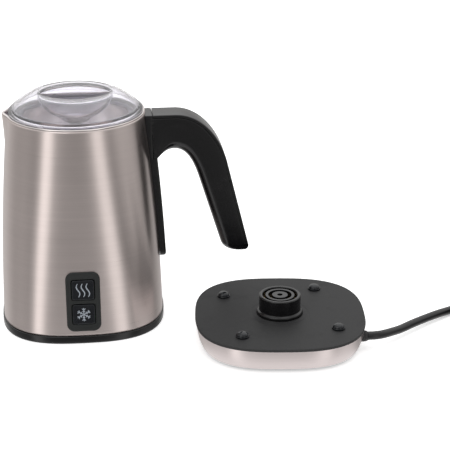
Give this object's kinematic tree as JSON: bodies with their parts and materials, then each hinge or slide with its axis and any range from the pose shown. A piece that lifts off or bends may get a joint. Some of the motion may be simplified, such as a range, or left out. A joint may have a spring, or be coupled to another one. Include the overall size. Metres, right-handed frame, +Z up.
{
  "type": "milk frother",
  "caption": "Electric milk frother: brushed steel jug with a spout, black side handle, two front buttons and a clear lid, beside its round-cornered power base with a corded plug.",
  "frame": {"origin": "on the floor, under the middle of the box of the jug and base without the cord", "axes": "+X from the spout to the handle, -Y the side of the buttons, +Z up"},
  "size_m": [0.4341, 0.1816, 0.168],
  "materials": {
    "brushed_steel": "horizontal brushing, satin",
    "pot_steel": "turned, bright",
    "black_plastic": "satin moulded",
    "matt_black_plastic": "fine matt texture",
    "gloss_black_plastic": "gloss",
    "black_rubber": "matt",
    "clear_plastic": "clear, polished",
    "clear_silicone": "translucent",
    "brass": "bright",
    "zinc_steel": "zinc or nickel plated steel",
    "aluminium": "as drawn",
    "circuit_board": "solder mask",
    "white_plastic": "moulded",
    "ferrite": "matt magnet"
  },
  "bodies": {
    "base": {"base_skirt": "brushed_steel", "base_top_plate": "matt_black_plastic", "base_tray": "black_plastic", "base_foot_1": "black_rubber", "base_foot_2": "black_rubber", "base_foot_3": "black_rubber", "base_foot_4": "black_rubber", "base_pad_1": "black_rubber", "base_pad_2": "black_rubber", "base_pad_3": "black_rubber", "base_pad_4": "black_rubber", "coupler_post": "black_plastic", "post_contact_inner": "brass", "post_contact_outer": "brass", "cord_gland": "black_rubber", "cord": "black_rubber", "cord_coil": "black_rubber", "plug_body": "black_plastic", "plug_pin_1": "zinc_steel", "plug_pin_2": "zinc_steel"},
    "jug": {"outer_shell": "brushed_steel", "inner_pot": "pot_steel", "pot_spindle": "pot_steel", "foot_ring": "black_plastic", "handle_bracket": "black_plastic", "handle_grip": "black_plastic", "handle_cap": "black_plastic", "coupler_socket": "black_plastic", "motor_bracket": "black_plastic", "bottom_cover": "matt_black_plastic", "button_panel": "matt_black_plastic", "socket_pin": "brass", "socket_ring_inner": "brass", "socket_ring_outer": "brass", "thermostat": "brass", "handle_screw_top": "zinc_steel", "handle_screw_foot": "zinc_steel", "motor_screw_1": "zinc_steel", "motor_screw_2": "zinc_steel", "motor_can": "aluminium", "heater_ring": "aluminium", "power_board": "circuit_board", "control_board": "circuit_board", "relay": "white_plastic", "switch_hot": "white_plastic", "switch_cold": "white_plastic", "bottom_screw_1": "zinc_steel", "bottom_screw_2": "zinc_steel", "bottom_screw_3": "zinc_steel", "bottom_screw_4": "zinc_steel"},
    "rotor": {"motor_shaft": "zinc_steel", "drive_disc": "black_plastic", "drive_magnet": "ferrite"},
    "whisk": {"whisk_hub": "black_plastic", "whisk_coil": "pot_steel"},
    "lid": {"lid": "clear_plastic", "lid_gasket": "clear_silicone"},
    "button_hot": {"button_hot": "gloss_black_plastic"},
    "button_cold": {"button_cold": "gloss_black_plastic"}
  },
  "joints": [
    {"name": "jug_lift", "type": "slide", "parent": "base", "child": "jug", "axis": [0, 0, 1], "range_m": [0, 0.2]},
    {"name": "lid_lift", "type": "slide", "parent": "jug", "child": "lid", "axis": [0, 0, 1], "range_m": [0, 0.06]},
    {"name": "rotor_spin", "type": "hinge", "parent": "jug", "child": "rotor", "pos_m": [-0.06989, 0.03184, 0.045], "axis": [0, 0, 1], "continuous": true},
    {"name": "whisk_spin", "type": "hinge", "parent": "jug", "child": "whisk", "pos_m": [-0.06989, 0.03184, 0.055], "axis": [0, 0, 1], "continuous": true},
    {"name": "button_hot_press", "type": "slide", "parent": "jug", "child": "button_hot", "axis": [0, 0.9994, -0.0348], "range_m": [0, 0.0008], "stiffness_N_per_m": 600, "springref_m": -0.001},
    {"name": "button_cold_press", "type": "slide", "parent": "jug", "child": "button_cold", "axis": [0, 0.9994, -0.0348], "range_m": [0, 0.0008], "stiffness_N_per_m": 600, "springref_m": -0.001}
  ],
  "couplings": [
    {"joint": "whisk_spin", "follows": "rotor_spin", "ratio": 1}
  ]
}
